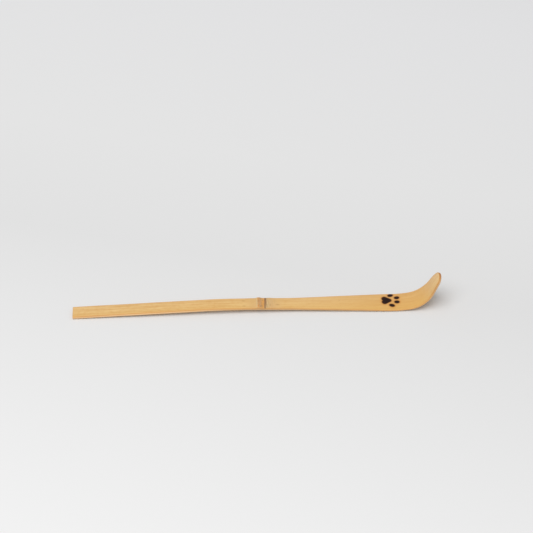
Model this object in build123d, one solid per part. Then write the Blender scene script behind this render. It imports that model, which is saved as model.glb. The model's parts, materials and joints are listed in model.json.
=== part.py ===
from build123d import *
import math
import os

# A chashaku, the tea scoop of the tea room: one strip of bamboo, heated and bent up near its tip.
# Millimetres and degrees. The strip is drawn with its handle along +X and its skin side up, and is then
# laid on the table. There +X runs from the cut end to the tip, +Z is up, and the origin lies on the table
# under the middle of the strip.

# Lengths along the skin side, from corner to corner of the bent strip
handle_length = 71.0
blade_length = 88.1
lead_length = 13.1
tip_length = 18.2

# Bends: a shallow arch where the blade starts to dip, a slow lead into the scoop, and the scoop's own bend
arch_turn = 3.5
arch_radius = 240.0
lead_turn = 7.2
lead_radius = 36.0
bend_turn = 62.5
bend_radius = 13.7

# Cross-section
handle_width = 7.2
blade_width = 11.0
handle_thickness = 1.6
blade_thickness = 1.35
tip_thickness = 1.2
edge_round = 0.3
end_round = 0.15

# Outline: the strip widens along the flare, which ends short of the lead. The tip narrows to a round nose.
flare_length = 45.6
flare_back = 4.9
flare_radius = 150.0
nose_taper = 17.6
nose_radius = 3.8

# Bamboo node: a ridge, the groove that holds the sheath's scar, and a low swelling. The underside is pared
# to a waist below the ridge.
arch_to_ridge = 20.6
ridge_height = 0.4
ridge_rise = 1.3
ridge_fall = 2.4
scar_gap = 0.2
scar_width = 1.0
scar_depth = 0.25
scar_recess = 0.04
swell_height = 0.15
swell_rise = 1.0
swell_fall = 3.0
node_blend = 1.2
waist_fall = 14.0
waist_depth = 0.3
waist_blend = 200.0

# Paw mark burnt into the blade, with its toes towards the tip
paw_offset = 0.65
paw_back = 4.9
char_depth = 0.3
char_recess = 0.06
lobe_radius = 1.35
lobe_spread = 2.2
lobe_back = 1.05
apex_radius = 1.1
apex_front = 1.25
inner_toe_length = 2.5
inner_toe_width = 1.8
inner_toe_front = 5.3
inner_toe_spread = 2.8
inner_toe_splay = 4.0
outer_toe_length = 2.7
outer_toe_width = 1.8
outer_toe_front = 2.45
outer_toe_spread = 6.8
outer_toe_splay = 17.0

# Cutting solids run past the strip by an overrun, or reach along all of it
overrun = 5.0
reach = handle_length + blade_length + lead_length + tip_length

# Points per edge of the underside that are tried for the belly's lowest point
belly_steps = 100

# Headings of the strip's straight stretches past the handle, measured up from +X
blade_heading = -arch_turn
lead_heading = blade_heading + lead_turn
tip_heading = lead_heading + bend_turn


def ahead(start, heading, distance):
    """The point that lies a distance from start, on a heading in the strip's side view."""
    angle = math.radians(heading)
    return start + Vector(math.cos(angle), math.sin(angle)) * distance


def on_plane(corner, heading):
    """Plane of a skin face: x along the strip, y across it, z out of the skin."""
    along = ahead(Vector(0, 0), heading, 1)
    return Plane(
        origin=(corner.X, 0, corner.Y),
        x_dir=(along.X, 0, along.Y),
        z_dir=(-along.Y, 0, along.X),
    )


# Corners of the side view, on the skin side and on the underside
end_top = Vector(0, 0)
arch_top = ahead(end_top, 0, handle_length)
lead_top = ahead(arch_top, blade_heading, blade_length)
bend_top = ahead(lead_top, lead_heading, lead_length)
tip_top = ahead(bend_top, tip_heading, tip_length)


def below(corner, heading_in, heading_out, thickness):
    """Corner of the underside below a corner of the skin, where both stretches have one thickness."""
    half_turn = math.radians(heading_out - heading_in) / 2
    return ahead(corner, (heading_in + heading_out) / 2 - 90, thickness / math.cos(half_turn))


end_under = below(end_top, 0, 0, handle_thickness)
arch_under = below(arch_top, 0, blade_heading, handle_thickness)
lead_under = below(lead_top, blade_heading, lead_heading, blade_thickness)
bend_under = below(bend_top, lead_heading, tip_heading, blade_thickness)
tip_under = below(tip_top, tip_heading, tip_heading, tip_thickness)

# Stations of the node, along the blade from the arch's corner
ridge_tail = arch_to_ridge + ridge_fall
scar_middle = ridge_tail + scar_gap + scar_width / 2
swell_foot = scar_middle + scar_width / 2 + scar_gap
swell_station = swell_foot + swell_rise


def on_blade(station, height):
    """Point of the side view at a station along the blade and a height over its skin."""
    foot = ahead(arch_top, blade_heading, station)
    return ahead(foot, blade_heading + 90, height)


def blade_under(station, rise):
    """Point of the underside at a station along the blade, raised towards the skin."""
    share = station / blade_length
    thickness = handle_thickness + (blade_thickness - handle_thickness) * share
    return on_blade(station, rise - thickness)


def swelling(crest, rise, fall, height):
    """Foot, crest and tail of a ring round the culm."""
    return [on_blade(crest - rise, 0), on_blade(crest, height), on_blade(crest + fall, 0)]


def side_view():
    """Skin and underside of the strip, and the face between them, past the end of the tip."""
    ridge = swelling(arch_to_ridge, ridge_rise, ridge_fall, ridge_height)
    swell = swelling(swell_station, swell_rise, swell_fall, swell_height)
    waist = [blade_under(arch_to_ridge, waist_depth), blade_under(arch_to_ridge + waist_fall, 0)]
    skin_end = ahead(tip_top, tip_heading, overrun)
    under_end = ahead(tip_under, tip_heading, overrun)
    skin = FilletPolyline(
        [end_top, arch_top, *ridge, *swell, lead_top, bend_top, skin_end],
        radius=[arch_radius] + [node_blend] * 6 + [lead_radius, bend_radius],
    )
    under = FilletPolyline(
        [end_under, arch_under, *waist, lead_under, bend_under, under_end],
        radius=[
            arch_radius - handle_thickness,
            waist_blend,
            waist_blend,
            lead_radius + blade_thickness,
            bend_radius + blade_thickness,
        ],
    )
    ends = [Line(end_top, end_under), Line(skin_end, under_end)]
    return make_face(skin.edges() + under.edges() + ends), under


def plan_view():
    """Outline from above: an even handle that widens to the blade."""
    handle_side = handle_width / 2
    blade_side = blade_width / 2
    flare_end = lead_top.X - flare_back
    far = [
        (-overrun, handle_side),
        (flare_end - flare_length, handle_side),
        (flare_end, blade_side),
        (reach, blade_side),
    ]
    near = [(x, -y) for x, y in reversed(far)]
    radii = [0, flare_radius, flare_radius, 0] * 2
    return make_face(FilletPolyline(far + near, radius=radii, close=True))


def nose_view():
    """Outline of the tip in its own plane, from its end back: a round nose between two long arcs."""
    half = blade_width / 2
    nose_middle = nose_taper - nose_radius
    side_radius = (nose_middle**2 + half**2 - nose_radius**2) / (2 * (half - nose_radius))
    side_turn = math.degrees(math.asin(nose_middle / (side_radius - nose_radius)))
    far_side = Line((-reach, half), (-nose_taper, half))
    far_arc = JernArc(far_side @ 1, far_side % 1, side_radius, -side_turn)
    nose = JernArc(far_arc @ 1, far_arc % 1, nose_radius, 2 * side_turn - 180)
    near_arc = JernArc(nose @ 1, nose % 1, side_radius, -side_turn)
    near_side = Line(near_arc @ 1, (-reach, -half))
    back = Line(near_side @ 1, far_side @ 0)
    return make_face([far_side, far_arc, nose, near_arc, near_side, back])


def bent_strip(side):
    """The whole strip with its edges eased, before the node's groove and the mark are cut."""
    strip = extrude(Plane.XZ * side, amount=blade_width, both=True)
    strip &= extrude(plan_view(), amount=reach, both=True)
    strip &= extrude(on_plane(tip_top, tip_heading) * nose_view(), amount=reach, both=True)
    edges = strip.edges()
    tip_normal = Axis((0, 0, 0), on_plane(tip_top, tip_heading).z_dir)
    long_edges = edges - edges.filter_by(Axis.Y) - edges.filter_by(Axis.Z) - edges.filter_by(tip_normal)
    strip = fillet(long_edges, edge_round)
    cut_end = strip.faces().sort_by(Axis.X)[0]
    return fillet(cut_end.edges(), end_round)


def scar_groove():
    """Bar across the strip at the scar, sunk into the skin."""
    floor = on_plane(on_blade(scar_middle, -scar_depth), blade_heading) * Rectangle(scar_width, blade_width)
    return extrude(floor, amount=overrun)


def toe(length, width, front, spread, splay):
    """Toe pad beside the mark's middle line, turned outwards."""
    return Pos(front, spread / 2) * Rot(0, 0, splay) * Ellipse(length / 2, width / 2)


def palm():
    """Palm pad: two lobes behind, drawn together to one apex in front."""
    apex = Pos(apex_front, 0) * Circle(apex_radius)
    pad = Sketch()
    for side in (1, -1):
        lobe = Pos(-lobe_back, side * lobe_spread / 2) * Circle(lobe_radius)
        pad += make_hull(lobe.edges() + apex.edges())
    return pad


def paw_pads():
    """Outlines of the mark's five pads by node name, about the middle of the palm."""
    inner = toe(inner_toe_length, inner_toe_width, inner_toe_front, inner_toe_spread, inner_toe_splay)
    outer = toe(outer_toe_length, outer_toe_width, outer_toe_front, outer_toe_spread, outer_toe_splay)
    return {
        "paw_palm_pad": palm(),
        "paw_toe_far_outer": outer,
        "paw_toe_far_inner": inner,
        "paw_toe_near_inner": mirror(inner, Plane.XZ),
        "paw_toe_near_outer": mirror(outer, Plane.XZ),
    }


def paw_plane():
    """Skin plane of the blade at the middle of the palm, behind the corner of the lead."""
    middle = ahead(lead_top, blade_heading, -paw_back)
    return on_plane(middle, blade_heading) * Pos(0, paw_offset)


def on_table(strip, under):
    """Placing that sets the strip's cut end and its belly down on the table, centred over the origin."""
    belly = [edge @ (step / belly_steps) for edge in under.edges() for step in range(belly_steps)]
    sights = [point - end_under for point in belly if point.X > handle_length]
    lean = min(math.atan2(sight.Y, sight.X) for sight in sights)
    turned = Rot(0, math.degrees(lean), 0)
    box = (turned * strip).bounding_box()
    return Pos(-box.center().X, 0, -box.min.Z) * turned


side, under = side_view()
blank = bent_strip(side)
skin_normal = on_plane(lead_top, blade_heading).z_dir

# Each dark piece fills its own cut in the strip, to a little under the skin
cuts = {"sheath_scar": (scar_groove(), scar_recess)}
for name, outline in paw_pads().items():
    floor = paw_plane() * Pos(0, 0, -char_depth) * outline
    cuts[name] = (extrude(floor, amount=overrun, dir=skin_normal), char_recess)

strip = blank
nodes = {}
for name, (cut, recess) in cuts.items():
    nodes[name] = Pos(skin_normal * -recess) * blank & cut
    strip -= cut
nodes["bamboo_strip"] = strip

placing = on_table(strip, under)
os.makedirs("parts", exist_ok=True)
for name, solid in nodes.items():
    export_step(placing * solid, f"parts/{name}.step")
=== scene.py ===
# %% [markdown]
# # A bamboo tea scoop
# A chashaku is one strip of bamboo. Its maker splits a culm so that a node falls near the middle, pares the
# blank to its outline, bends the tip up over heat and cleans the cut edges. A paw print is burnt into the
# bed of this one. First the frame is loaded: the solids from CAD, with their names and in metres.

import json
import math
from functools import partial

import bpy
from mathutils import Matrix, Vector


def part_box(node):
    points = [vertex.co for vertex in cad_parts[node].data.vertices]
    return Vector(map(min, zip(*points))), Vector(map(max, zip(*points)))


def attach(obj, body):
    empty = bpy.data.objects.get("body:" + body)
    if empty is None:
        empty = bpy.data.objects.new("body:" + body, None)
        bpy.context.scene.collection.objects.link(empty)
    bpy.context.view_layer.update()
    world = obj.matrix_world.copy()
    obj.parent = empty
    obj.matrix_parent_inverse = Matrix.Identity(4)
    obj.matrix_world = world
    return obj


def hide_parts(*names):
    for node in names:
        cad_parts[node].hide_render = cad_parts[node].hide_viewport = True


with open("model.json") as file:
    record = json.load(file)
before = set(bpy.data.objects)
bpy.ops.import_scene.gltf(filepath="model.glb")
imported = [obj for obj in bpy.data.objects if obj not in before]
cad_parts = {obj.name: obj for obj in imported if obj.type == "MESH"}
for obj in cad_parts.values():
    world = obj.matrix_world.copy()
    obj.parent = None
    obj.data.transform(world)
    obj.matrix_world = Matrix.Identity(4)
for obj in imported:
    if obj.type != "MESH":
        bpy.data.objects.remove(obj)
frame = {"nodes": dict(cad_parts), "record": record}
scene = bpy.context.scene
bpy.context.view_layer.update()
MM = 0.001
print("nodes:", sorted(frame["nodes"]))

# %% [markdown]
# ## Kinds of nodes
# Shapes and finishes are both made by trees of nodes. Blender asks for a node by the name of its type. Types
# that come up often get a short name here, some of them together with their setting.

# %% Kinds of nodes
MATH, VECTOR, RANGE, MIX = "ShaderNodeMath", "ShaderNodeVectorMath", "ShaderNodeMapRange", "ShaderNodeMix"
XYZ, PARTS, NOISE = "ShaderNodeCombineXYZ", "ShaderNodeSeparateXYZ", "ShaderNodeTexNoise"
RAMP, CURVE, KNOWN = "ShaderNodeValToRGB", "ShaderNodeFloatCurve", "ShaderNodeAttribute"
STORE, NAMED = "GeometryNodeStoreNamedAttribute", "GeometryNodeInputNamedAttribute"
QUAD, SAMPLE = "GeometryNodeCurvePrimitiveQuadrilateral", "GeometryNodeSampleCurve"
FROM_OBJECT, PLACE, RAY = "GeometryNodeObjectInfo", "GeometryNodeSetPosition", "GeometryNodeRaycast"
BUMP, SHADE = "ShaderNodeBump", "GeometryNodeSetShadeSmooth"
TIMES, PLUS, MINUS, OVER, TIMES_PLUS, POWER, ABSOLUTE, MOST, LEAST, SIGN, SINE, COSINE = (
    (MATH, {"operation": name}) for name in (
        "MULTIPLY", "ADD", "SUBTRACT", "DIVIDE", "MULTIPLY_ADD", "POWER", "ABSOLUTE", "MAXIMUM", "MINIMUM",
        "SIGN", "SINE", "COSINE"))
STRETCH, SCALE, SHIFT, APART, LENGTH, DOT, UNIT = (
    (VECTOR, {"operation": name}) for name in (
        "MULTIPLY", "SCALE", "ADD", "SUBTRACT", "LENGTH", "DOT_PRODUCT", "NORMALIZE"))
BLEND = (MIX, {"data_type": "FLOAT"})
TINT = (MIX, {"data_type": "RGBA"})
GLAZE = (MIX, {"data_type": "RGBA", "blend_type": "MULTIPLY"})
SMOOTH = (RANGE, {"interpolation_type": "SMOOTHSTEP"})
print("a glaze is", GLAZE)

# %% [markdown]
# ## Helpers
# One function adds a node to a tree, sets it and feeds its inputs: those that come first in order, and
# others by their names. Each tree comes with this function already tied to it, under the name wire. Colours
# are written as the hex values that a picture editor shows, so one function turns them into the linear
# values that Blender works in.

# %% Helpers
def colour(text):
    """Linear red, green, blue and alpha of an sRGB hex value."""
    parts = [int(text[i : i + 2], 16) / 255 for i in (1, 3, 5)]
    return [c / 12.92 if c <= 0.04045 else ((c + 0.055) / 1.055) ** 2.4 for c in parts] + [1.0]


def feed(node, feeds):
    """Feeds inputs, by name or place, with a value, a socket, or a node's first live output."""
    inputs = [socket for socket in node.inputs if socket.enabled]
    for place, value in feeds.items():
        socket = inputs[place] if isinstance(place, int) else next(s for s in inputs if s.name == place)
        if isinstance(value, bpy.types.Node):
            value = next(out for out in value.outputs if out.enabled)
        if isinstance(value, bpy.types.NodeSocket):
            node.id_data.links.new(value, socket)
        else:
            socket.default_value = value


def add(tree, kind, *feeds, **settings):
    """Adds a node of a kind to a tree, sets it, and feeds its inputs in order or from a dict of names."""
    kind, own = kind if isinstance(kind, tuple) else (kind, {})
    node = tree.nodes.new(kind)
    for name, value in {**own, **settings}.items():
        setattr(node, name, value)
    for place, value in enumerate(feeds):
        feed(node, value if isinstance(value, dict) else {place: value})
    return node


def stops(node, places):
    """Sets a colour ramp to stops of place, hex colour and strength, which is full unless it is given."""
    elements = node.color_ramp.elements
    while len(elements) < len(places):
        elements.new(0.5)
    for element, (place, text, *strength) in zip(elements, places):
        element.position = place
        element.color = colour(text)[:3] + (strength or [1.0])
    return node


def finish_called(name):
    """A new material, its shader, and add for its tree."""
    material = bpy.data.materials.new(name)
    material.use_nodes = True
    return material, material.node_tree.nodes["Principled BSDF"], partial(add, material.node_tree)


def tell(owner, what):
    """Prints how many nodes a tree, or a finish, has by now."""
    print(owner.name, "has", len(getattr(owner, "node_tree", owner).nodes), "nodes", what)


print("half grey is", round(colour("#808080")[0], 3), "in linear values")

# %% [markdown]
# ## The camera
# The scoop lies on a table and is seen from above its near side, at half a right angle, through a long lens.
# The handle points a little towards the camera. A camera is three directions and a distance, so they are
# written down here in the scoop's own frame instead of turning an object by eye.

# %% Camera
PICTURE = 533
focal = 1600.0
rise = math.radians(45)
swing = 0.0469
pixels_per_mm = 2.0312
aim_right, aim_up = 5.083 * MM, 20.45 * MM

right = Vector((math.cos(swing), -math.sin(swing), 0))
forward = Vector((math.sin(swing) * math.cos(rise), math.cos(swing) * math.cos(rise), -math.sin(rise)))
up = right.cross(forward)
camera = bpy.data.objects.new("camera", bpy.data.cameras.new("camera"))
camera.data.sensor_width = 36.0
camera.data.lens = camera.data.sensor_width * focal / PICTURE
camera.data.clip_start = 0.01
turn = Matrix((right, up, -forward)).transposed()
place = right * aim_right + up * aim_up - forward * (focal / pixels_per_mm * MM)
camera.matrix_world = Matrix.Translation(place) @ turn.to_4x4()
scene.collection.objects.link(camera)
scene.camera = camera
scene.view_settings.view_transform = "Standard"
print("lens", round(camera.data.lens, 1), "mm, camera at", [round(v, 3) for v in place])

# %% [markdown]
# ## The table
# The table is a sheet of white paper, so it needs no more than a matt, pale surface. The fall of light
# across it is painted: one ramp makes it a touch darker round the scoop, as painted shade, and palest on the
# near left, as a painted pool of light.

# %% Table
paper, shader, wire = finish_called("matt white paper")
painted_falloff_way = (0.29, 0.96, 0.0)
spot = wire("ShaderNodeTexCoord").outputs["Object"]
lean = wire(DOT, spot, painted_falloff_way)
away = wire(RANGE, lean, {"From Min": -0.15, "From Max": 0.25})
# Painted light: this ramp darkens the paper round the scoop and brightens the near left.
tone = stops(wire(RAMP, away), [(0.0, "#e9e9e9"), (0.45, "#dedede"), (0.65, "#e3e3e3"), (1.0, "#e6e6e7")])
feed(shader, {"Base Color": tone, "Roughness": 0.9, "Specular IOR Level": 0.1})

half = 3.0
sheet = bpy.data.meshes.new("table")
sheet_corners = [(-half, -half, 0), (half, -half, 0), (half, half, 0), (-half, half, 0)]
sheet.from_pydata(sheet_corners, [], [(0, 1, 2, 3)])
sheet.materials.append(paper)
table = bpy.data.objects.new("table", sheet)
scene.collection.objects.link(table)
print("table of", 2 * half, "m")

# %% [markdown]
# ## The light
# A large soft lamp hangs in front of the scoop, a little to the left, and an even sky fills in from
# everywhere else. So the tip throws only a soft shadow, to the right and away from the camera. An area lamp
# was chosen because its size sets how soft that shadow is.

# %% Light
sky = bpy.data.worlds.new("even sky")
sky.use_nodes = True
feed(sky.node_tree.nodes["Background"], {"Color": (1.0, 1.0, 1.0, 1.0), "Strength": 0.4})
scene.world = sky

lamp = bpy.data.objects.new("softbox", bpy.data.lights.new("softbox", "AREA"))
lamp.data.size = 1.45
lamp.data.energy = 24.5
lamp.location = (-0.35, -0.5, 1.6)
lamp.rotation_euler = (-lamp.location).to_track_quat("-Z", "Y").to_euler()
scene.collection.objects.link(lamp)
print("lamp", round(lamp.location.length, 2), "m away")

# %% [markdown]
# ## The bend, drawn as a line
# A bent strip could be swept, but a sweep gives one section all along. Instead two lines are drawn, as on a
# maker's template: the skin line seen from the side, and half of the flat outline. Each is a few corners
# with a bending radius, which Geometry Nodes round off. The cut end and its direction come from the record's
# mount.

# %% Skin line
handle, blade, lead, tip = 71.0 * MM, 88.1 * MM, 13.1 * MM, 18.2 * MM
arch_turn, lead_turn, bend_turn = (math.radians(degrees) for degrees in (3.5, 7.2, 62.1))
arch_radius, lead_radius, bend_radius = 240 * MM, 36 * MM, 13.7 * MM
thick_end = 1.6 * MM


def template(name, corners, radii):
    """A line from corner to corner that carries its bending radii."""
    mesh = bpy.data.meshes.new(name)
    mesh.from_pydata(corners, [(i, i + 1) for i in range(len(corners) - 1)], [])
    mesh.attributes.new("bend", "FLOAT", "POINT").data.foreach_set("value", radii)
    return mesh


cut = next(mount for mount in frame["record"]["mounts"] if mount["name"] == "handle_end")
handle_heading = heading = math.atan2(-cut["axis"][2], -cut["axis"][0])
corner = Vector(cut["pos_m"]) + Vector((-math.sin(heading), 0, math.cos(heading))) * thick_end / 2
corners = [corner]
for length, turn_after in ((handle, -arch_turn), (blade, lead_turn), (lead, bend_turn), (tip, 0)):
    corner = corner + Vector((math.cos(heading), 0, math.sin(heading))) * length
    corners.append(corner)
    heading += turn_after
skin_line = bpy.data.objects.new("skin_line", template(
    "skin_line", corners, [0, arch_radius, lead_radius, bend_radius, 0]))
scene.collection.objects.link(skin_line)
print("the tip ends at", [round(v / MM, 2) for v in corners[-1]], "mm")

# %% [markdown]
# ## The blank, drawn as an outline
# The blank is pared while it is flat, so its outline is drawn flat too. A rounded corner is shorter than a
# sharp one, so what the bends save is taken off the length. The nose is a small arc between two long ones.

# %% Outline
handle_side, blade_side = 3.6 * MM, 5.5 * MM
flare_length, flare_back, flare_radius = 45.6 * MM, 4.9 * MM, 150 * MM
end_round = 0.15 * MM
saved = sum(
    radius * (2 * math.tan(turn_by / 2) - turn_by)
    for radius, turn_by in ((arch_radius, arch_turn), (lead_radius, lead_turn), (bend_radius, bend_turn))
)
whole = handle + blade + lead + tip - saved
nose_taper, nose_radius = 17.6 * MM, 3.8 * MM
flare_end = handle + blade - flare_back
flare_start = flare_end - flare_length
middle = nose_taper - nose_radius
side_radius = (middle**2 + blade_side**2 - nose_radius**2) / (2 * (blade_side - nose_radius))
side_turn = math.asin(middle / (side_radius - nose_radius))
outline = template(
    "outline",
    [
        (end_round, handle_side, 0),
        (flare_start, handle_side, 0),
        (flare_end, blade_side, 0),
        (whole - nose_taper + side_radius * math.tan(side_turn / 2), blade_side, 0),
        (whole, nose_radius * math.tan((math.pi / 2 - side_turn) / 2), 0),
        (whole, 0, 0),
    ],
    [0, flare_radius, flare_radius, side_radius, nose_radius, 0],
)
print("the blank is", round(whole / MM, 2), "mm long")

# %% [markdown]
# ## Finish: cured bamboo
# The skin of cured bamboo is a smooth, faintly glossy tan with fine streaks along it. Where the strip is
# cut, the wood below shows: an orange layer just under the skin, paler flesh further in, and bundles of
# fibres all through. So one volume is described in the strip's own coordinates, station, across and depth,
# and every face shows its own cut through it: streaks on the long faces, dots on the cut end.

# %% Bamboo tone
bamboo, shader, wire = finish_called("cured bamboo, pared and rubbed")
fibre = wire(KNOWN, attribute_name="fibre").outputs["Vector"]
known = {label: wire(KNOWN, attribute_name=label).outputs["Fac"] for label in ("skin", "rim", "scorch")}
station, across, depth = wire(PARTS, fibre).outputs

# Tone: tan on the handle, a little deeper towards the bend, where the flame was, and paler again on the tip.
# It is a little yellower towards the near side, so the far side stays whiter, as if the pale backdrop shone
# in it: a painted reflection.
place_on = wire(OVER, station, whole)
tone = stops(wire(RAMP, place_on), [
    (0.0, "#eac890"), (0.45, "#eac88e"), (0.62, "#e7c288"), (0.84, "#e0b472"),
    (0.91, "#e0b675"), (1.0, "#eecb95")])
painted_reflection_reach = 4.5 * MM
# Painted reflection: the far half keeps a whiter tone, and the near half is glazed yellower.
near = wire(RANGE, across, {"From Min": painted_reflection_reach, "From Max": -painted_reflection_reach})
tone = wire(GLAZE, near, tone, colour("#fffce5"))
print(bamboo.name, "knows", ["fibre", *known], "of each point")

# %% [markdown]
# The streaks in the skin are its fibres. They could be painted, but noise that is stretched along the strip
# gives them at any length: fine ones 0.3 mm wide that fade over 16 mm, and broad ones 1.4 mm wide over 70
# mm. Rounder noise clouds the skin in patches of a millimetre or two, because the rubbing was never even.
# Past the node both are half as strong.

# %% Bamboo streaks and clouding
def per_mm(sizes):
    """How many grains of these sizes in millimetres lie in a metre, along, across and deep."""
    return [1 / (size * MM) for size in sizes]


def grained(sizes, detail, rough=0.5):
    """Noise through the culm, with grains of these sizes in millimetres."""
    grain = wire(STRETCH, fibre, per_mm(sizes))
    return wire(NOISE, {"Vector": grain, "Scale": 1.0, "Detail": detail, "Roughness": rough})


fine = grained((16, 0.3, 0.3), 2.0, 0.6)
broad = grained((70, 1.4, 1.4), 1.0)
fine_dark = wire(RANGE, fine, {"From Min": 0.62, "From Max": 0.3})
broad_dark = wire(RANGE, broad, {"From Min": 0.65, "From Max": 0.35})
fine_share, broad_share = 0.6, 0.25
streak = wire(TIMES, fine_dark, fine_share)
streak = wire(TIMES_PLUS, broad_dark, broad_share, streak)
clear = wire(RANGE, place_on, {"From Min": 0.5, "From Max": 0.65, "To Min": 1.0, "To Max": 0.5})
streak = wire(TIMES, streak, clear)
skin_tone = wire(GLAZE, streak, tone, colour("#dcbb90"))
cloud = grained((2.2, 1.2, 1.2), 2.0)
cloud = wire(RANGE, cloud, {"From Min": 0.45, "From Max": 0.7, "To Max": 0.4})
cloud = wire(TIMES, cloud, clear)
skin_tone = wire(GLAZE, cloud, skin_tone, colour("#f2e0c8"))
tell(bamboo, "for its skin")

# %% [markdown]
# The skin dulls towards the node. Seen from the handle there is a pale line, a blotched brown ridge, an
# orange edge, then the scar, and past it a greyer zone with fine lines across. A ramp along the station
# holds these bands with a strength each. Two noises break them up: blotches on the ridge, and lines across
# the strip past the scar.

# %% Bamboo node
node_from, node_to = 84.0, 104.0
bands = [
    (84.0, "#d9af71", 0.0), (87.5, "#d9af71", 0.8), (90.05, "#d8b075", 0.9), (90.2, "#dabb88", 1.0),
    (90.5, "#dabb88", 1.0), (90.75, "#d4a76f", 0.95), (91.0, "#cd9e65", 0.95), (91.6, "#c89b6c", 0.95),
    (92.3, "#cea472", 0.95), (92.8, "#d8a564", 0.95), (93.3, "#dba65f", 0.95), (94.0, "#dba35c", 0.95),
    (95.0, "#d6b686", 0.95), (95.5, "#d8b888", 0.95), (96.0, "#d2b27f", 0.95), (96.5, "#d8b481", 0.9),
    (98.5, "#dab47c", 0.85), (101.0, "#ddb477", 0.7), (104.0, "#ddb477", 0.0)]
at_node = wire(RANGE, station, {"From Min": node_from * MM, "From Max": node_to * MM})
band = stops(wire(RAMP, at_node), [
    ((mm - node_from) / (node_to - node_from), text, strength) for mm, text, strength in bands])
skin_tone = wire(TINT, band.outputs["Alpha"], skin_tone, band.outputs["Color"])

blotch = stops(wire(RAMP, grained((0.8, 1.5, 1.5), 3.0, 0.65)), [
    (0.36, "#ffe0b8"), (0.5, "#ffffff"), (0.64, "#d8cfc8")])
lines = stops(wire(RAMP, grained((0.42, 3.5, 3.5), 2.0)), [
    (0.38, "#e8e3d4"), (0.52, "#ffffff"), (0.66, "#fff0e2")])
for marks, (start, end), fade in ((blotch, (90.6, 94.2), 0.4), (lines, (95.0, 97.4), 3.0)):
    rising = wire(RANGE, station, {"From Min": (start - fade) * MM, "From Max": start * MM})
    falling = wire(RANGE, station, {"From Min": (end + fade) * MM, "From Max": end * MM})
    there = wire(TIMES, rising, falling)
    skin_tone = wire(GLAZE, there, skin_tone, marks)
print(len(bands), "bands between", node_from, "and", node_to, "mm")

# %% [markdown]
# A few sap specks are left in the skin. They are too few for a noise, so each is listed, with its station,
# its place across and its radius in millimetres. The fine streaks fray their edges.

# %% Sap specks
fray, outer_share, inner_share, speck_strength = 0.5, 1.2, 0.4, 0.4
longer_along = (0.5, 1.0, 1.0)
speck = None
for mm, side, radius in (
    (26.9, 2.0, 0.35), (84.0, -1.7, 0.7), (83.8, 1.7, 0.6), (100.5, -1.0, 0.7), (131.0, 1.2, 0.3),
):
    away = wire(APART, fibre, (mm * MM, side * MM, 0.0))
    away = wire(STRETCH, away, longer_along)
    away = wire(LENGTH, away)
    away = wire(TIMES_PLUS, fine, fray * radius * MM, away)
    mark = wire(RANGE, away, {
        "From Min": outer_share * radius * MM, "From Max": inner_share * radius * MM,
        "To Max": speck_strength})
    speck = wire(MOST, speck, mark) if speck else mark
skin_tone = wire(TINT, speck, skin_tone, colour("#a97c46"))
tell(bamboo, "with its node and specks")

# %% [markdown]
# Under the skin, depth decides the tone: a ramp gives the orange layer and the paler flesh below it. Fibre
# bundles are long cells in the volume, so a cut along them shows dashes, and a cut across them shows dots.
# Deep below the node, a browner band is left of the septum, the wall that closed the culm.

# %% Bamboo flesh
bundle_share = 0.5
septum_at, septum_fray = 93 * MM, 2.0 * MM
layer = wire(OVER, depth, thick_end)
flesh = stops(wire(RAMP, layer), [
    (0.0, "#dca359"), (0.16, "#d89c52"), (0.27, "#e4b57b"), (0.42, "#e9bf8c"),
    (1.0, "#e8c292")])
cells = wire(STRETCH, fibre, per_mm((34, 0.52, 0.4)))
cells = wire("ShaderNodeTexVoronoi", {"Vector": cells, "Scale": 1.0})
bundle = wire(RANGE, cells, {"From Min": 0.38, "From Max": 0.2})
small = grained((12, 0.16, 0.16), 2.0)
small = wire(RANGE, small, {"From Min": 0.6, "From Max": 0.35, "To Max": 0.35})
bundle = wire(TIMES_PLUS, bundle, bundle_share, small)
cut_tone = wire(TINT, bundle, flesh, colour("#c8975f"))
septum = wire(ABSOLUTE, wire(MINUS, station, septum_at))
septum = wire(TIMES_PLUS, fine, septum_fray, septum)
septum = wire(RANGE, septum, {"From Min": 4.5 * MM, "From Max": 1.5 * MM, "To Max": 0.6})
septum = wire(TIMES, septum, layer, use_clamp=True)
cut_tone = wire(TINT, septum, cut_tone, colour("#b98a55"))
base = wire(TINT, known["skin"], cut_tone, skin_tone)
tell(bamboo, "with its flesh")

# %% [markdown]
# Cuts across the grain soak up oil from hands, so the nose and the cut end are browner, and the flame
# toasted the edges of the tip. The iron left a warm halo round the mark, and brown close to the char. Both
# come from values that the strip's own tree stores on its points. The rubbed skin is smoother than the cut
# flesh, and both are finely ribbed by their fibres.

# %% Bamboo oil, scorch and gloss
oil_fall, oil_strength, burn_fall, burn_strength = 2.5, 0.9, 5.0, 0.85
oiled = wire(POWER, known["rim"], oil_fall)
oiled = wire(TIMES, oiled, oil_strength)
base = wire(TINT, oiled, base, colour("#b27034"))
base = wire(GLAZE, known["scorch"], base, colour("#feead0"))
burnt = wire(POWER, known["scorch"], burn_fall)
burnt = wire(TIMES, burnt, burn_strength)
base = wire(TINT, burnt, base, colour("#5a3119"))
rough = wire(RANGE, known["skin"], {"To Min": 0.6, "To Max": 0.42})
rib = wire(MINUS, fine, bundle)
relief = wire(BUMP, {"Strength": 0.25, "Distance": 0.04 * MM, "Height": rib})
feed(shader, {"Base Color": base, "Roughness": rough, "Normal": relief, "IOR": 1.5})
tell(bamboo, "in all")
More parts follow.
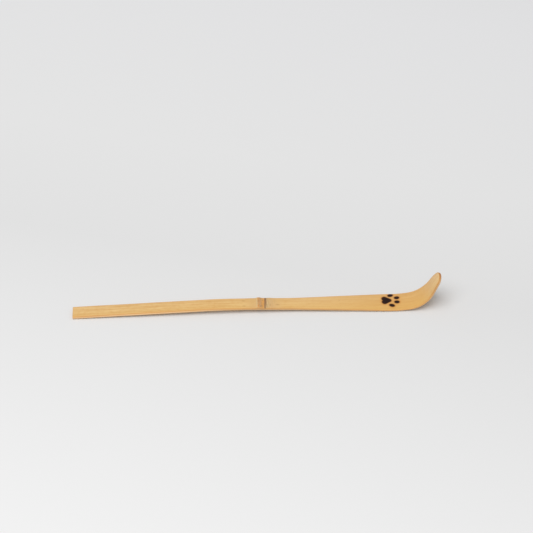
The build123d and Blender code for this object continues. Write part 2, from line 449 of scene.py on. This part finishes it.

# %% [markdown]
# ## Finish: char and cork
# The iron chars the bamboo to a matt, near-black crust that goes brown at its rim. The scar is cork: dull,
# brown and pitted, and darker towards the far side of the strip. Both are small and rough, so a noise and a
# ramp are enough for each, and a bump from the same noise breaks up the light.

# %% Char and cork
char, shader, wire = finish_called("charred bamboo")
edge = wire(KNOWN, attribute_name="edge").outputs["Fac"]
spot = wire("ShaderNodeTexCoord").outputs["Object"]
crust = wire(NOISE, {"Vector": spot, "Scale": 1 / (0.5 * MM), "Detail": 3.0, "Roughness": 0.6})
ember_fall, crust_share = 6.0, 0.5
ember = wire(POWER, edge, ember_fall)
ember = wire(TIMES_PLUS, crust, crust_share, ember)
tone = stops(wire(RAMP, ember), [(0.0, "#1d1210"), (0.35, "#291712"), (0.8, "#3d2315"), (1.0, "#5a3117")])
relief = wire(BUMP, {"Strength": 0.5, "Distance": 0.05 * MM, "Height": crust})
feed(shader, {"Base Color": tone, "Roughness": 0.8, "Normal": relief, "Specular IOR Level": 0.2})

cork, shader, wire = finish_called("corky sheath scar")
spot = wire("ShaderNodeTexCoord").outputs["Object"]
_, side, _ = wire(PARTS, spot).outputs
pits = wire(NOISE, {"Vector": spot, "Scale": 1 / (0.4 * MM), "Detail": 4.0, "Roughness": 0.7})
# The cork is lighter on the near side of the strip and darker towards the far side.
near_to_far_tone = wire(RANGE, side, {"From Min": -handle_side, "From Max": handle_side, "To Min": 0.55, "To Max": 0.35})
pits_share = 0.6
near_to_far_tone = wire(TIMES_PLUS, pits, pits_share, near_to_far_tone)
tone = stops(wire(RAMP, near_to_far_tone), [(0.4, "#5a4333"), (0.6, "#8b6b4f"), (0.85, "#a8855f"), (1.0, "#bf9a72")])
relief = wire(BUMP, {"Strength": 0.6, "Distance": 0.06 * MM, "Height": pits})
feed(shader, {"Base Color": tone, "Roughness": 0.85, "Normal": relief, "Specular IOR Level": 0.25})
print(char.name, "and", cork.name, "are ready")

# %% [markdown]
# ## Growing pieces
# A Geometry Nodes tree is a recipe: it has named inputs and hands out a mesh. These helpers start a tree,
# close it, and run it once. What it grows is kept as a plain mesh, so that a finished piece needs no
# modifier.

# %% Growing pieces
def new_tree(name, inputs):
    """An empty Geometry Nodes tree with named inputs, the sockets that carry them, and add for this tree."""
    tree = bpy.data.node_groups.new(name, "GeometryNodeTree")
    for kind, labels in {"Geometry": ["Geometry"], **inputs, "Material": ["Finish"]}.items():
        for label in labels:
            tree.interface.new_socket(label, in_out="INPUT", socket_type="NodeSocket" + kind)
    tree.interface.new_socket("Geometry", in_out="OUTPUT", socket_type="NodeSocketGeometry")
    take = {socket.name: socket for socket in add(tree, "NodeGroupInput").outputs if socket.name}
    return tree, take, partial(add, tree)


def close_tree(wire, take, made):
    """Ends a tree: what was made becomes real geometry, gets the finish and is handed out."""
    made = wire("GeometryNodeRealizeInstances", made)
    made = wire("GeometryNodeSetMaterial", made, {"Material": take["Finish"]})
    wire("NodeGroupOutput", made)


def grow(name, tree, values, start=None):
    """Runs a tree on a start mesh, and returns what it grows as an object with a plain mesh."""
    maker = bpy.data.objects.new(name + "_maker", start or bpy.data.meshes.new(name + "_start"))
    scene.collection.objects.link(maker)
    modifier = maker.modifiers.new("tree", "NODES")
    modifier.node_group = tree
    for item in tree.interface.items_tree:
        if item.in_out == "INPUT" and item.name in values:
            modifier[item.identifier] = values[item.name]
    grown = maker.evaluated_get(bpy.context.evaluated_depsgraph_get())
    piece = bpy.data.objects.new(name, bpy.data.meshes.new_from_object(grown))
    piece.data.name = name
    maker.modifiers.remove(modifier)
    bpy.data.objects.remove(maker)
    scene.collection.objects.link(piece)
    print(name, "has", len(piece.data.vertices), "points and", len(piece.data.polygons), "faces")
    return piece


print("finishes ready for the trees:", [material.name for material in (bamboo, char, cork)])

# %% [markdown]
# ## Pads and pockets of the burnt mark
# A hot iron leaves each pad as a sunken, charred plate. One tree makes a pad by casting rays at the frame's
# own node: outwards for its outline, and down and up for its faces. Grown a hair wider and deeper, and tall
# enough to reach out of the skin, the same tree makes the tool that cuts the pad's pocket.

# %% Pad tree, outline
pad_tree, take, wire = new_tree("charred pad", {
    "Object": ["Pad"], "Vector": ["Centre", "Slip"], "Int": ["Rings", "Spokes"],
    "Float": ["Tilt", "Grow", "Rise", "Sink", "Relief", "Crown radius"],
})
solid = wire(FROM_OBJECT, take["Pad"]).outputs["Geometry"]
disc = wire("GeometryNodeMeshGrid", {"Vertices X": take["Rings"], "Vertices Y": take["Spokes"]})
ring, spoke, _ = wire(PARTS, disc.outputs["UV Map"]).outputs

# Directions in the plane of the skin, and the outline's distance in each
ray_length = 10 * MM
angle = wire(TIMES, spoke, math.tau)
flat = wire(XYZ, {"X": wire(COSINE, angle), "Y": wire(SINE, angle)})
outward, normal = (
    wire("ShaderNodeVectorRotate", {"Vector": level_way, "Angle": take["Tilt"]}, rotation_type="Y_AXIS")
    for level_way in (flat, (0.0, 0.0, 1.0)))
to_edge = wire(RAY, {
    "Target Geometry": solid, "Source Position": take["Centre"], "Ray Direction": outward,
    "Ray Length": ray_length,
}).outputs["Hit Distance"]
tell(pad_tree, "to find its outline")

# %% [markdown]
# A pad is a disc of rings and spokes. The rings run from the middle of the top to the edge, down the wall,
# and back to the middle underneath. Rays from above and from below find the node's own top and floor, a
# little inside its edge, so the pad sits as deep as it does in CAD.

# %% Pad tree, heights
top_share, wall_end = 0.6, 0.7
share_top = wire(OVER, ring, top_share)
share_under = wire(RANGE, ring, {"From Min": 1.0, "From Max": wall_end})
share = wire(LEAST, share_top, share_under)
share = wire(LEAST, share, 1.0)
level = wire(RANGE, ring, {"From Min": top_share, "From Max": wall_end, "To Min": 1.0, "To Max": 0.0})
just_inside, clear_of = 0.97, 3 * MM
inside = wire(TIMES, to_edge, share)
inside = wire(TIMES, inside, just_inside)
probe = wire(SCALE, outward, inside)
probe = wire(SHIFT, take["Centre"], probe)
heights = []
for way in (1.0, -1.0):
    lift = wire(SCALE, normal, way * clear_of)
    back = wire(SCALE, normal, -way)
    hit = wire(RAY, {
        "Target Geometry": solid, "Ray Direction": back, "Ray Length": ray_length,
        "Source Position": wire(SHIFT, probe, lift),
    }).outputs["Hit Position"]
    from_middle = wire(APART, hit, take["Centre"])
    heights.append(wire(DOT, from_middle, normal))
tell(pad_tree, "with its heights")

# %% [markdown]
# Char is blistered, and here it follows the crown of the skin, so noise and the crown move the top. The
# disc's points then go to their places. Those that fall together, in the middle and along the seam, are
# merged, which closes the pad.

# %% Pad tree, char
reach = wire(PLUS, to_edge, take["Grow"])
reach = wire(TIMES, reach, share)
foot = wire(SCALE, outward, reach)
foot = wire(SHIFT, take["Centre"], foot)
across = wire(PARTS, foot).outputs["Y"]
blister = wire(NOISE, {"Vector": foot, "Scale": 1 / (0.6 * MM), "Detail": 2.0})
blister = wire(RANGE, blister, {"From Min": 0.3, "From Max": 0.7, "To Min": -1.0, "To Max": 0.0})
blister = wire(TIMES, blister, take["Relief"])
crown = wire(TIMES, across, across)
crown = wire(OVER, crown, take["Crown radius"])
crown = wire(TIMES_PLUS, crown, -0.5, take["Rise"])
top = wire(PLUS, heights[0], blister)
top = wire(PLUS, top, crown)
floor = wire(MINUS, heights[1], take["Sink"])
height = wire(BLEND, level, floor, top)
lift = wire(SCALE, normal, height)
place = wire(SHIFT, foot, lift)
made = wire(PLACE, disc, {"Position": place, "Offset": take["Slip"]})
made = wire(STORE, made, {"Name": "edge", "Value": share})
made = wire("GeometryNodeMergeByDistance", made, {"Distance": 0.0005 * MM})
close_tree(wire, take, made)
tell(pad_tree, "in all")

# %% [markdown]
# The iron was set by hand, so each pad slips a little along and across from its drawn place. Each of the
# frame's five paw nodes is grown twice from one set of sizes, as a pad and as a tool.

# %% Pads and their pockets
slips = {
    "paw_palm_pad": (0.28, 0.2), "paw_toe_far_outer": (-0.1, 0.15), "paw_toe_far_inner": (0.08, 0.38),
    "paw_toe_near_inner": (0.0, 0.36), "paw_toe_near_outer": (0.2, 0.2),
}
crown_radius = 90 * MM
blade_tilt = arch_turn - handle_heading
pad_names = sorted(name for name in frame["nodes"] if name.startswith("paw_"))
pads, tools = [], []
for name in pad_names:
    low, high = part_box(name)
    along, across = (slip * MM for slip in slips[name])
    sizes = {
        "Pad": frame["nodes"][name], "Centre": (low + high) / 2, "Tilt": blade_tilt, "Finish": char,
        "Slip": [along * math.cos(blade_tilt), across, -along * math.sin(blade_tilt)],
        "Crown radius": crown_radius, "Rings": 24, "Spokes": 97,
    }
    pads.append(grow(name.replace("paw", "burnt"), pad_tree, {**sizes, "Relief": 0.03 * MM}))
    tools.append(grow(name.replace("paw", "pocket"), pad_tree, {
        **sizes, "Grow": 0.015 * MM, "Rise": 1.0 * MM, "Sink": 0.01 * MM}))

# %% [markdown]
# ## The sheath scar
# The culm sheath leaves a line of cork in a groove round the node. It is a bar swept across the strip with a
# rounded section. Its flanks wander as the sheath's foot did, its top follows the crown and the eased edges
# of the strip, and noise roughens it. A wider and taller bar with the same flanks cuts the groove.

# %% Scar tree, bar
scar_tree, take, wire = new_tree("corky bar", {
    "Vector": ["Floor"],
    "Float": [
        "Tilt", "Length", "Width", "Height", "Edge round", "Crown radius", "Roughness", "Skew", "Wander"],
})
half_length = wire(TIMES, take["Length"], 0.5)
half_height = wire(TIMES, take["Height"], 0.5)
near_end = wire(TIMES, half_length, -1.0)
path = wire("GeometryNodeCurvePrimitiveLine", {
    "Start": wire(XYZ, {"Y": near_end}), "End": wire(XYZ, {"Y": half_length})})
path = wire("GeometryNodeResampleCurve", path, {"Count": 160})
path = wire("GeometryNodeSetCurveNormal", path, mode="Z_UP")
section = wire(QUAD, {"Width": take["Width"], "Height": take["Height"]})
section = wire("GeometryNodeFilletCurve", section, {"Radius": 0.06 * MM, "Count": 4}, mode="POLY")
section = wire("GeometryNodeResampleCurve", section, {"Count": 48})
bar = wire("GeometryNodeCurveToMesh", {"Curve": path, "Profile Curve": section, "Fill Caps": True})
tell(scar_tree, "for a plain bar")

# %% [markdown]
# The foot of a sheath is never straight, so both flanks wander on their own, and the whole bar is set a
# little askew. One noise serves for both: it is read far apart for the two flanks.

# %% Scar tree, flanks
sides_apart, flank_wave = 7.3, 1.8 * MM
here = wire("GeometryNodeInputPosition")
along, across, height = wire(PARTS, here).outputs
flank = wire(OVER, along, take["Width"])
flank = wire(TIMES, flank, 2.0)
apart = wire(TIMES, wire(SIGN, flank), sides_apart)
foot_at = wire(TIMES_PLUS, across, 1 / flank_wave, apart)
wander = wire(NOISE, {"W": foot_at, "Scale": 1.0, "Detail": 3.0, "Roughness": 0.6}, noise_dimensions="1D")
wander = wire(RANGE, wander, {"From Min": 0.25, "From Max": 0.75, "To Min": -1.0, "To Max": 1.0})
wander = wire(TIMES, wander, take["Wander"])
wander = wire(TIMES, wander, wire(ABSOLUTE, flank))
aslant = wire(TIMES_PLUS, across, take["Skew"], wander)
tell(scar_tree, "with its flanks")

# %% [markdown]
# The top is pitted, and falls with the crown and at the eased edges of the strip. All of this is worked out
# as one offset for each point, so the bar is moved only once before it is set down on the blade.

# %% Scar tree, top
above = wire(OVER, height, take["Height"])
above = wire(PLUS, above, 0.5)
pits = wire(NOISE, {"Vector": here, "Scale": 1 / (0.4 * MM), "Detail": 3.0})
pits = wire(RANGE, pits, {"From Min": 0.3, "From Max": 0.7, "To Min": -1.0, "To Max": 0.3})
pits = wire(TIMES, pits, take["Roughness"])
crown = wire(TIMES, across, across)
crown = wire(OVER, crown, take["Crown radius"])
past = wire(MINUS, wire(ABSOLUTE, across), half_length)
past = wire(OVER, past, take["Edge round"])
past = wire(PLUS, past, 1.0, use_clamp=True)
ease = wire(TIMES, past, past)
ease = wire(MINUS, 1.0, ease)
ease = wire(MATH, ease, operation="SQRT")
ease = wire(MINUS, 1.0, ease)
fall = wire(TIMES, ease, take["Height"])
fall = wire(TIMES_PLUS, crown, 0.5, fall)
lift = wire(MINUS, pits, fall)
lift = wire(TIMES_PLUS, lift, above, half_height)
bar = wire(PLACE, bar, {"Offset": wire(XYZ, {"X": aslant, "Z": lift})})
bar = wire("GeometryNodeTransform", bar, {
    "Translation": take["Floor"], "Rotation": wire(XYZ, {"Y": take["Tilt"]})})
bar = wire(SHADE, bar, {"Shade Smooth": True})
close_tree(wire, take, bar)
tell(scar_tree, "in all")

# %% [markdown]
# The scar lies a little nearer to the handle than it is drawn, and higher, because the node stands higher
# here too. The groove's tool is longer than the strip is wide, so that the groove runs out at both sides.

# %% Scar and its groove
low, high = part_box("sheath_scar")
groove_deeper, groove_wider = 0.02 * MM, 0.06 * MM
scar_width, scar_height, scar_back, scar_up = 0.94 * MM, 0.21 * MM, 0.2 * MM, 0.26 * MM
over_skin = Vector((math.sin(blade_tilt), 0, math.cos(blade_tilt)))
scar_floor = (low + high) / 2 - Vector((scar_back, 0, 0)) + over_skin * (scar_up - scar_height / 2)
sizes = {"Tilt": blade_tilt, "Edge round": 0.3 * MM, "Skew": 0.06, "Wander": 0.16 * MM, "Finish": cork}
scar = grow("corky_scar", scar_tree, {
    **sizes, "Floor": scar_floor, "Length": high.y - low.y, "Width": scar_width, "Height": scar_height,
    "Crown radius": crown_radius, "Roughness": 0.04 * MM,
})
groove_tool = grow("groove_tool", scar_tree, {
    **sizes, "Floor": scar_floor - over_skin * groove_deeper, "Length": 2 * (high.y - low.y),
    "Width": scar_width + groove_wider, "Height": 1.5 * MM, "Crown radius": 1.0,
})

# %% [markdown]
# ## The strip
# The tree takes the flat blank and bends it. A grid of stations along and points around gets a rounded
# section, the outline gives its width, curves give its thickness and the ridge of the node, and the skin
# line gives its place. The two template lines come first: each corner is rounded off by the radius that it
# carries.

# %% Strip tree, template lines
strip_tree, take, wire = new_tree("bent bamboo strip", {
    "Object": ["Skin line", "Pockets", "Groove"], "Int": ["Stations", "Points round"],
    "Float": [
        "Edge round", "End round", "Crown radius", "Scorch reach", "Knife wander", "Tip lean", "Under round",
        "Under lift", "Near edge", "Near cut", "Near slope", "Handle round"],
})
rounded = []
side_line = wire(FROM_OBJECT, take["Skin line"]).outputs["Geometry"]
for line in (take["Geometry"], side_line):
    line = wire("GeometryNodeMeshToCurve", line)
    bend = wire(NAMED, {"Name": "bend"})
    rounded.append(wire("GeometryNodeFilletCurve", line, {"Count": 256, "Radius": bend}, mode="POLY"))
outline_curve, skin_curve = rounded
print(strip_tree.name, "takes", len(take), "inputs")

# %% [markdown]
# The strip is a grid that is rolled up, with stations along it and points round it. The first rings make the
# flat cut end and its eased edge, and the rest follow the outline. Even stations would waste points on the
# handle, so a curve sets them close at the node, the mark and the tip, where the shape has fine detail.

# %% Strip tree, stations
def shape(node, places, handle):
    """Sets a float curve to places of x and y, from its first to its last."""
    points = node.mapping.curves[0].points
    for x, y in places[1:-1]:
        points.new(x, y)
    points[0].location, points[-1].location = places[0], places[-1]
    for point in points:
        point.handle_type = handle
    node.mapping.update()
    return node


cap_rings, ease_rings = 8, 4
end_rings = float(cap_rings + ease_rings)
grid = wire("GeometryNodeMeshGrid", {"Vertices X": take["Stations"], "Vertices Y": take["Points round"]})
ring, around, _ = wire(PARTS, grid.outputs["UV Map"]).outputs
last = wire(MINUS, take["Stations"], 1.0)
ring = wire(TIMES, ring, last)
cap = wire(RANGE, ring, {"From Max": float(cap_rings)})
ease = wire(RANGE, ring, {"From Min": float(cap_rings), "From Max": end_rings, "To Max": math.pi / 2})
way = wire(RANGE, ring, {"From Min": end_rings, "From Max": last})

# Where each stretch ends, and how far apart its stations are, in millimetres
stretches = ((86, 1.0), (101, 0.125), (150, 0.7), (172, 0.22), (187.5, 0.25), (191.05, 0.45))
counts, ends = [0.0], [0.0]
for end, step in stretches:
    counts.append(counts[-1] + (end - ends[-1]) / step)
    ends.append(end)
spacing = shape(wire(CURVE, {"Value": way}), [
    (count / counts[-1], end / ends[-1]) for count, end in zip(counts, ends)], "VECTOR")
station_count = int(counts[-1]) + cap_rings + ease_rings + 1
at = wire(SAMPLE, {"Curves": outline_curve, "Factor": spacing}, mode="FACTOR")
along, wide, _ = wire(PARTS, at.outputs["Position"]).outputs
ahead, sideways, _ = wire(PARTS, at.outputs["Tangent"]).outputs
print(strip_tree.name, "has", station_count, "stations")

# %% [markdown]
# Each station gets a rounded section. A point of it is kept as an inner point and the way that its edge
# faces, so that one section serves for any width, thickness and rounding. It starts, and so has its seam, in
# the middle of the underside, where it isn't seen.

# %% Strip tree, section
box_wide, box_high, box_round = 3.0, 1.0, 0.5
seam_under = (1.5 * box_wide + box_high) / (2 * (box_wide + box_high))
inner_half = (box_wide - box_round, box_high - box_round, 1.0)
quad = wire(QUAD, {"Width": 2 * box_wide, "Height": 2 * box_high})
around = wire(PLUS, around, seam_under)
around = wire(MATH, around, operation="FRACT")
corner_at = wire(SAMPLE, {"Curves": quad, "Factor": around}, mode="FACTOR").outputs["Position"]
inner = wire(VECTOR, corner_at, inner_half, operation="MINIMUM")
inner = wire(VECTOR, inner, [-v for v in inner_half], operation="MAXIMUM")
facing = wire(APART, corner_at, inner)
facing = wire(UNIT, facing)
share = wire(VECTOR, inner, inner_half, operation="DIVIDE")
out_side, out_up, _ = wire(PARTS, facing).outputs
share_side, share_up, _ = wire(PARTS, share).outputs
upper = wire(TIMES_PLUS, share_up, 0.5, 0.5)
lower = wire(MINUS, 1.0, upper)
print("the seam is", round(seam_under, 3), "of the way round the section")

# %% [markdown]
# A knife wanders a little along each side. On the near one it left a little more of the blade, cut deeper
# before the node, and was held aslant on the handle, so that the wall there leans back towards the skin.
# Noise wanders, and smooth steps along the strip say where the rest holds.

# %% Strip tree, knife
knife_stroke, blade_only = 30 * MM, 4.0
fades = {
    "cut in": (45, 80), "cut out": (95, 83), "held": (105, 45), "grounded": (180, 170), "flame": (170, 182)}
shown = {
    label: wire(SMOOTH, along, {"From Min": none * MM, "From Max": full * MM})
    for label, (none, full) in fades.items()
}
knife_at = wire(OVER, along, knife_stroke)
knife_at = wire(TIMES_PLUS, wire(SIGN, share_side), sides_apart, knife_at)
wander = wire(NOISE, {"W": knife_at, "Scale": 1.0, "Detail": 2.0}, noise_dimensions="1D")
wander = wire(RANGE, wander, {"To Min": -1.0, "To Max": 1.0})
wander = wire(TIMES, wander, take["Knife wander"])
near_side = wire(MATH, share_side, 0.0, operation="LESS_THAN")
left_on = wire(OVER, wide, blade_side)
left_on = wire(POWER, left_on, blade_only)
left_on = wire(TIMES, left_on, take["Near edge"])
cut_in = wire(TIMES, shown["cut in"], shown["cut out"])
cut_in = wire(TIMES, cut_in, take["Near cut"])
left_on = wire(MINUS, left_on, cut_in)
slope = wire(TIMES, shown["held"], take["Near slope"])
slope = wire(TIMES, slope, upper)
left_on = wire(MINUS, left_on, slope)
wander = wire(TIMES_PLUS, near_side, left_on, wander)
wide = wire(TIMES_PLUS, wander, ahead, wide)
print("fades along the strip, in mm:", fades)

# %% [markdown]
# Now the width follows from the outline, with the long edges rounded square to it. As far as the bend, where
# the strip lies on the table, they are rounded more below than above, and most on the handle. The nose's
# edge is rounded along the strip as well, which sets its points back a little.

# %% Strip tree, width and place along
under_round = wire(BLEND, shown["held"], take["Under round"], take["Handle round"])
under_round = wire(BLEND, shown["grounded"], take["Edge round"], under_round)
eased = wire(BLEND, lower, take["Edge round"], under_round)
end_sine = wire(SINE, ease)
end_cosine = wire(COSINE, ease)
pull = wire(MINUS, 1.0, end_sine)
pull = wire(TIMES, pull, take["End round"])
edge = wire(MINUS, eased, pull)
inset = wire(TIMES, eased, ahead)
inset = wire(MINUS, wide, inset)
bulge = wire(TIMES, edge, ahead)
bulge = wire(TIMES, bulge, out_side)
across = wire(TIMES_PLUS, share_side, inset, bulge)
across = wire(TIMES, across, cap)
side_on = wire(ABSOLUTE, out_side)
set_back = wire(MINUS, 1.0, side_on)
set_back = wire(TIMES, set_back, sideways)
station = wire(TIMES_PLUS, set_back, eased, along)
end_back = wire(TIMES, end_cosine, take["End round"])
station = wire(MINUS, station, end_back)
tell(strip_tree, "so far")

# %% [markdown]
# The thickness is what the paring left: an even handle, a waist under the node, a fuller start of the bend
# and a thinner tip. The node is a ridge and a low swelling past the scar. Each is a short table of stations
# and millimetres, which a curve joins, straight for the paring and smooth for the node.

# %% Strip tree, thickness and node
thick_scale = 2.0 * MM
pared = (
    (0, 1.6), (71, 1.6), (91.6, 1.2415), (105.6, 1.5018), (159.1, 1.35), (164.5, 1.35), (169, 1.52),
    (174.5, 1.35), (184, 1.35), (whole / MM, 1.2),
)
thickness = shape(wire(CURVE, {"Value": wire(OVER, station, whole)}), [
    (stop * MM / whole, thick * MM / thick_scale) for stop, thick in pared], "VECTOR")
thick = wire(TIMES, thickness, thick_scale)

raised = (
    (68, 0.0), (76, 0.05), (84, 0.14), (89.3, 0.24), (90.2, 0.5), (91.3, 0.74), (92.6, 0.44), (93.8, 0.27),
    (95.6, 0.33), (96.6, 0.32), (98.1, 0.16), (100.5, 0.04), (104, 0.0),
)
node_start, node_end = raised[0][0] * MM, raised[-1][0] * MM
at_node = wire(RANGE, station, {"From Min": node_start, "From Max": node_end})
ridge = shape(wire(CURVE, {"Value": at_node}), [
    ((stop * MM - node_start) / (node_end - node_start), up) for stop, up in raised], "AUTO_CLAMPED")
ridge = wire(TIMES, ridge, MM)
print("the ridge stands", max(up for _, up in raised), "mm over the skin")

# %% [markdown]
# Heights are measured over the skin line. The skin is crowned across, as the culm was. The underside rolls
# up towards its long edges, so that they are clear of the table and the table shades them softly.

# %% Strip tree, height
core = wire(TIMES, thick, 0.5)
wall_top = wire(MINUS, core, take["Edge round"])
wall_foot = wire(MINUS, under_round, core)
height = wire(BLEND, lower, wall_top, wall_foot)
height = wire(TIMES_PLUS, edge, out_up, height)
height = wire(TIMES, height, cap)
height = wire(MINUS, height, core)
crown = wire(TIMES, across, across)
crown = wire(OVER, crown, take["Crown radius"])
relief = wire(TIMES_PLUS, crown, -0.5, ridge)
height = wire(TIMES_PLUS, upper, relief, height)
rolled = wire(OVER, across, blade_side)
rolled = wire(TIMES, rolled, rolled)
rolled = wire(TIMES, rolled, rolled)
rolled = wire(TIMES, rolled, take["Under lift"])
rolled = wire(TIMES, rolled, shown["grounded"])
height = wire(TIMES_PLUS, lower, rolled, height)
tell(strip_tree, "so far")

# %% [markdown]
# The bend turns a station, a place across and a height into a place on the table: the skin line is sampled
# at the station, and its normal carries the height. The tip also twisted a little over the flame. Past the
# bend it leans to the far side, and its nose back to the near side.

# %% Strip tree, bend
lean_from, lean_full, nose_from, nose_share = 168 * MM, 178 * MM, 181 * MM, -0.9
lean = wire(SMOOTH, station, {"From Min": lean_from, "From Max": lean_full})
back = wire(SMOOTH, station, {"From Min": whole, "From Max": nose_from, "To Min": nose_share})
lean = wire(TIMES, lean, back)
leant = wire(TIMES_PLUS, lean, take["Tip lean"], across)
bent = wire(SAMPLE, {"Curves": skin_curve, "Length": station}, mode="LENGTH")
normal = wire(VECTOR, bent.outputs["Tangent"], (0.0, 1.0, 0.0), operation="CROSS_PRODUCT")
normal = wire(UNIT, normal)
lifted = wire(SCALE, normal, height)
lifted = wire(SHIFT, lifted, wire(XYZ, {"Y": leant}))
placed = wire(SHIFT, bent.outputs["Position"], lifted)
uncut = wire(PLACE, grid, {"Position": placed})
tell(strip_tree, "with its bend")

# %% [markdown]
# The finish has to know of each point where it lies in the culm, whether it is skin, and how browned it is.
# Cuts across the grain are brown with oil, and the flame toasted the thin edges of the tip. These values are
# stored on the mesh, with the flat grid as a map for baking.

# %% Strip tree, what the finish needs
deep = wire(TIMES, upper, relief)
deep = wire(MINUS, deep, height)
fibre_at = wire(XYZ, {"X": station, "Y": across, "Z": deep})
skin_side = wire(RANGE, out_up, {"From Min": 0.6, "From Max": 1.0})
edge_on = wire(ABSOLUTE, share_side)
worn = wire(RANGE, edge_on, {"From Min": 0.9, "From Max": 1.0, "To Min": 1.0, "To Max": 0.55})
skin_side = wire(TIMES, skin_side, worn)
skin_side = wire(TIMES, skin_side, end_sine)
cut_across = wire(TIMES, sideways, side_on)
cut_across = wire(TIMES, cut_across, -1.0)
cut_across = wire(MOST, cut_across, end_cosine)
near_edge = wire(RANGE, edge_on, {"From Min": 0.55, "From Max": 1.0, "To Max": 0.4})
side_toast = 0.55
toasted = wire(TIMES, side_on, side_toast)
toasted = wire(MOST, toasted, near_edge)
toasted = wire(TIMES, toasted, shown["flame"])
cut_across = wire(MOST, cut_across, toasted)
stored = {
    "fibre": (fibre_at, "FLOAT_VECTOR"), "skin": (skin_side, "FLOAT"), "rim": (cut_across, "FLOAT")}
for label, (value, kind) in stored.items():
    uncut = wire(STORE, uncut, {"Name": label, "Value": value}, data_type=kind)
flat = grid.outputs["UV Map"]
uncut = wire(STORE, uncut, {"Name": "OFBake", "Value": flat}, data_type="FLOAT2", domain="CORNER")
uncut = wire("GeometryNodeMergeByDistance", uncut, {"Distance": 0.003 * MM})
uncut = wire("GeometryNodeFlipFaces", uncut)
tell(strip_tree, "before it is cut")

# %% [markdown]
# The pockets and the groove are cut with a Boolean, so that their edges stay crisp. The new points know
# nothing of the culm, so the stored values are carried over from the nearest place on the uncut strip. How
# near a point is to a pocket says how scorched it is. Folds sharper than 40 degrees stay sharp in the
# shading.

# %% Strip tree, cuts
sharp_from, no_length = math.radians(40), 0.0001
pockets, groove = (wire(FROM_OBJECT, take[label]).outputs["Geometry"] for label in ("Pockets", "Groove"))
cut_strip = wire("GeometryNodeMeshBoolean", {"Mesh 1": uncut, "Mesh 2": pockets}, solver="MANIFOLD")
strip_tree.links.new(groove, cut_strip.inputs["Mesh 2"])
here = wire("GeometryNodeInputPosition")
for label, (_, kind) in stored.items():
    value = wire(NAMED, {"Name": label}, data_type=kind)
    found = wire("GeometryNodeSampleNearestSurface", {
        "Mesh": uncut, "Value": value, "Sample Position": here}, data_type=kind)
    cut_strip = wire(STORE, cut_strip, {"Name": label, "Value": found}, data_type=kind)
flat = wire(NAMED, {"Name": "OFBake"}, data_type="FLOAT_VECTOR")
found = wire("GeometryNodeSampleNearestSurface", {
    "Mesh": uncut, "Value": flat, "Sample Position": here}, data_type="FLOAT_VECTOR")
bare = wire(LENGTH, flat)
bare = wire("FunctionNodeCompare", bare, no_length, operation="LESS_THAN")
cut_strip = wire(STORE, cut_strip, {
    "Selection": bare, "Name": "OFBake", "Value": found}, data_type="FLOAT2", domain="CORNER")
burn = wire("GeometryNodeProximity", {"Geometry": pockets}, target_element="FACES").outputs["Distance"]
burn = wire(RANGE, burn, {"From Max": take["Scorch reach"], "To Min": 1.0, "To Max": 0.0})
cut_strip = wire(STORE, cut_strip, {"Name": "scorch", "Value": burn})
fold = wire("GeometryNodeInputMeshEdgeAngle")
sharp = wire("FunctionNodeCompare", fold, sharp_from, operation="GREATER_THAN")
cut_strip = wire(SHADE, cut_strip, {"Shade Smooth": True})
cut_strip = wire(SHADE, cut_strip, {"Selection": sharp, "Shade Smooth": False}, domain="EDGE")
close_tree(wire, take, cut_strip)
tell(strip_tree, "in all")

# %% [markdown]
# The recipe now runs once on the outline, with every size in its place. The pocket tools are joined to one
# object first, because the tree takes one. The tools and the skin line have then done their work and are
# removed.

# %% Strip
with bpy.context.temp_override(active_object=tools[0], selected_editable_objects=tools):
    bpy.ops.object.join()
strip = grow("bent_strip", strip_tree, {
    "Skin line": skin_line, "Pockets": tools[0], "Groove": groove_tool, "Stations": station_count,
    "Points round": 145, "Edge round": 0.3 * MM, "End round": end_round, "Crown radius": crown_radius,
    "Scorch reach": 1.3 * MM, "Knife wander": 0.12 * MM, "Tip lean": 0.35 * MM, "Under round": 0.45 * MM,
    "Under lift": 0.3 * MM, "Near edge": 0.3 * MM, "Near cut": 0.2 * MM, "Near slope": 0.45 * MM,
    "Handle round": 0.8 * MM, "Finish": bamboo,
}, outline)
for tool in (skin_line, tools[0], groove_tool):
    bpy.data.objects.remove(tool)

# %% [markdown]
# ## Hand the pieces over
# Each finished piece takes the place of one node of the frame and rides on its body. A scoop has no moving
# parts, so there is only the root.

# %% Hand the pieces over
for piece, name, slot in [(strip, "bamboo_strip", "bamboo"), (scar, "sheath_scar", "scar")] + [
    (pad, name, "char") for pad, name in zip(pads, pad_names)
]:
    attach(piece, "root")
    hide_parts(name)
    print(piece.name, "stands for", name)
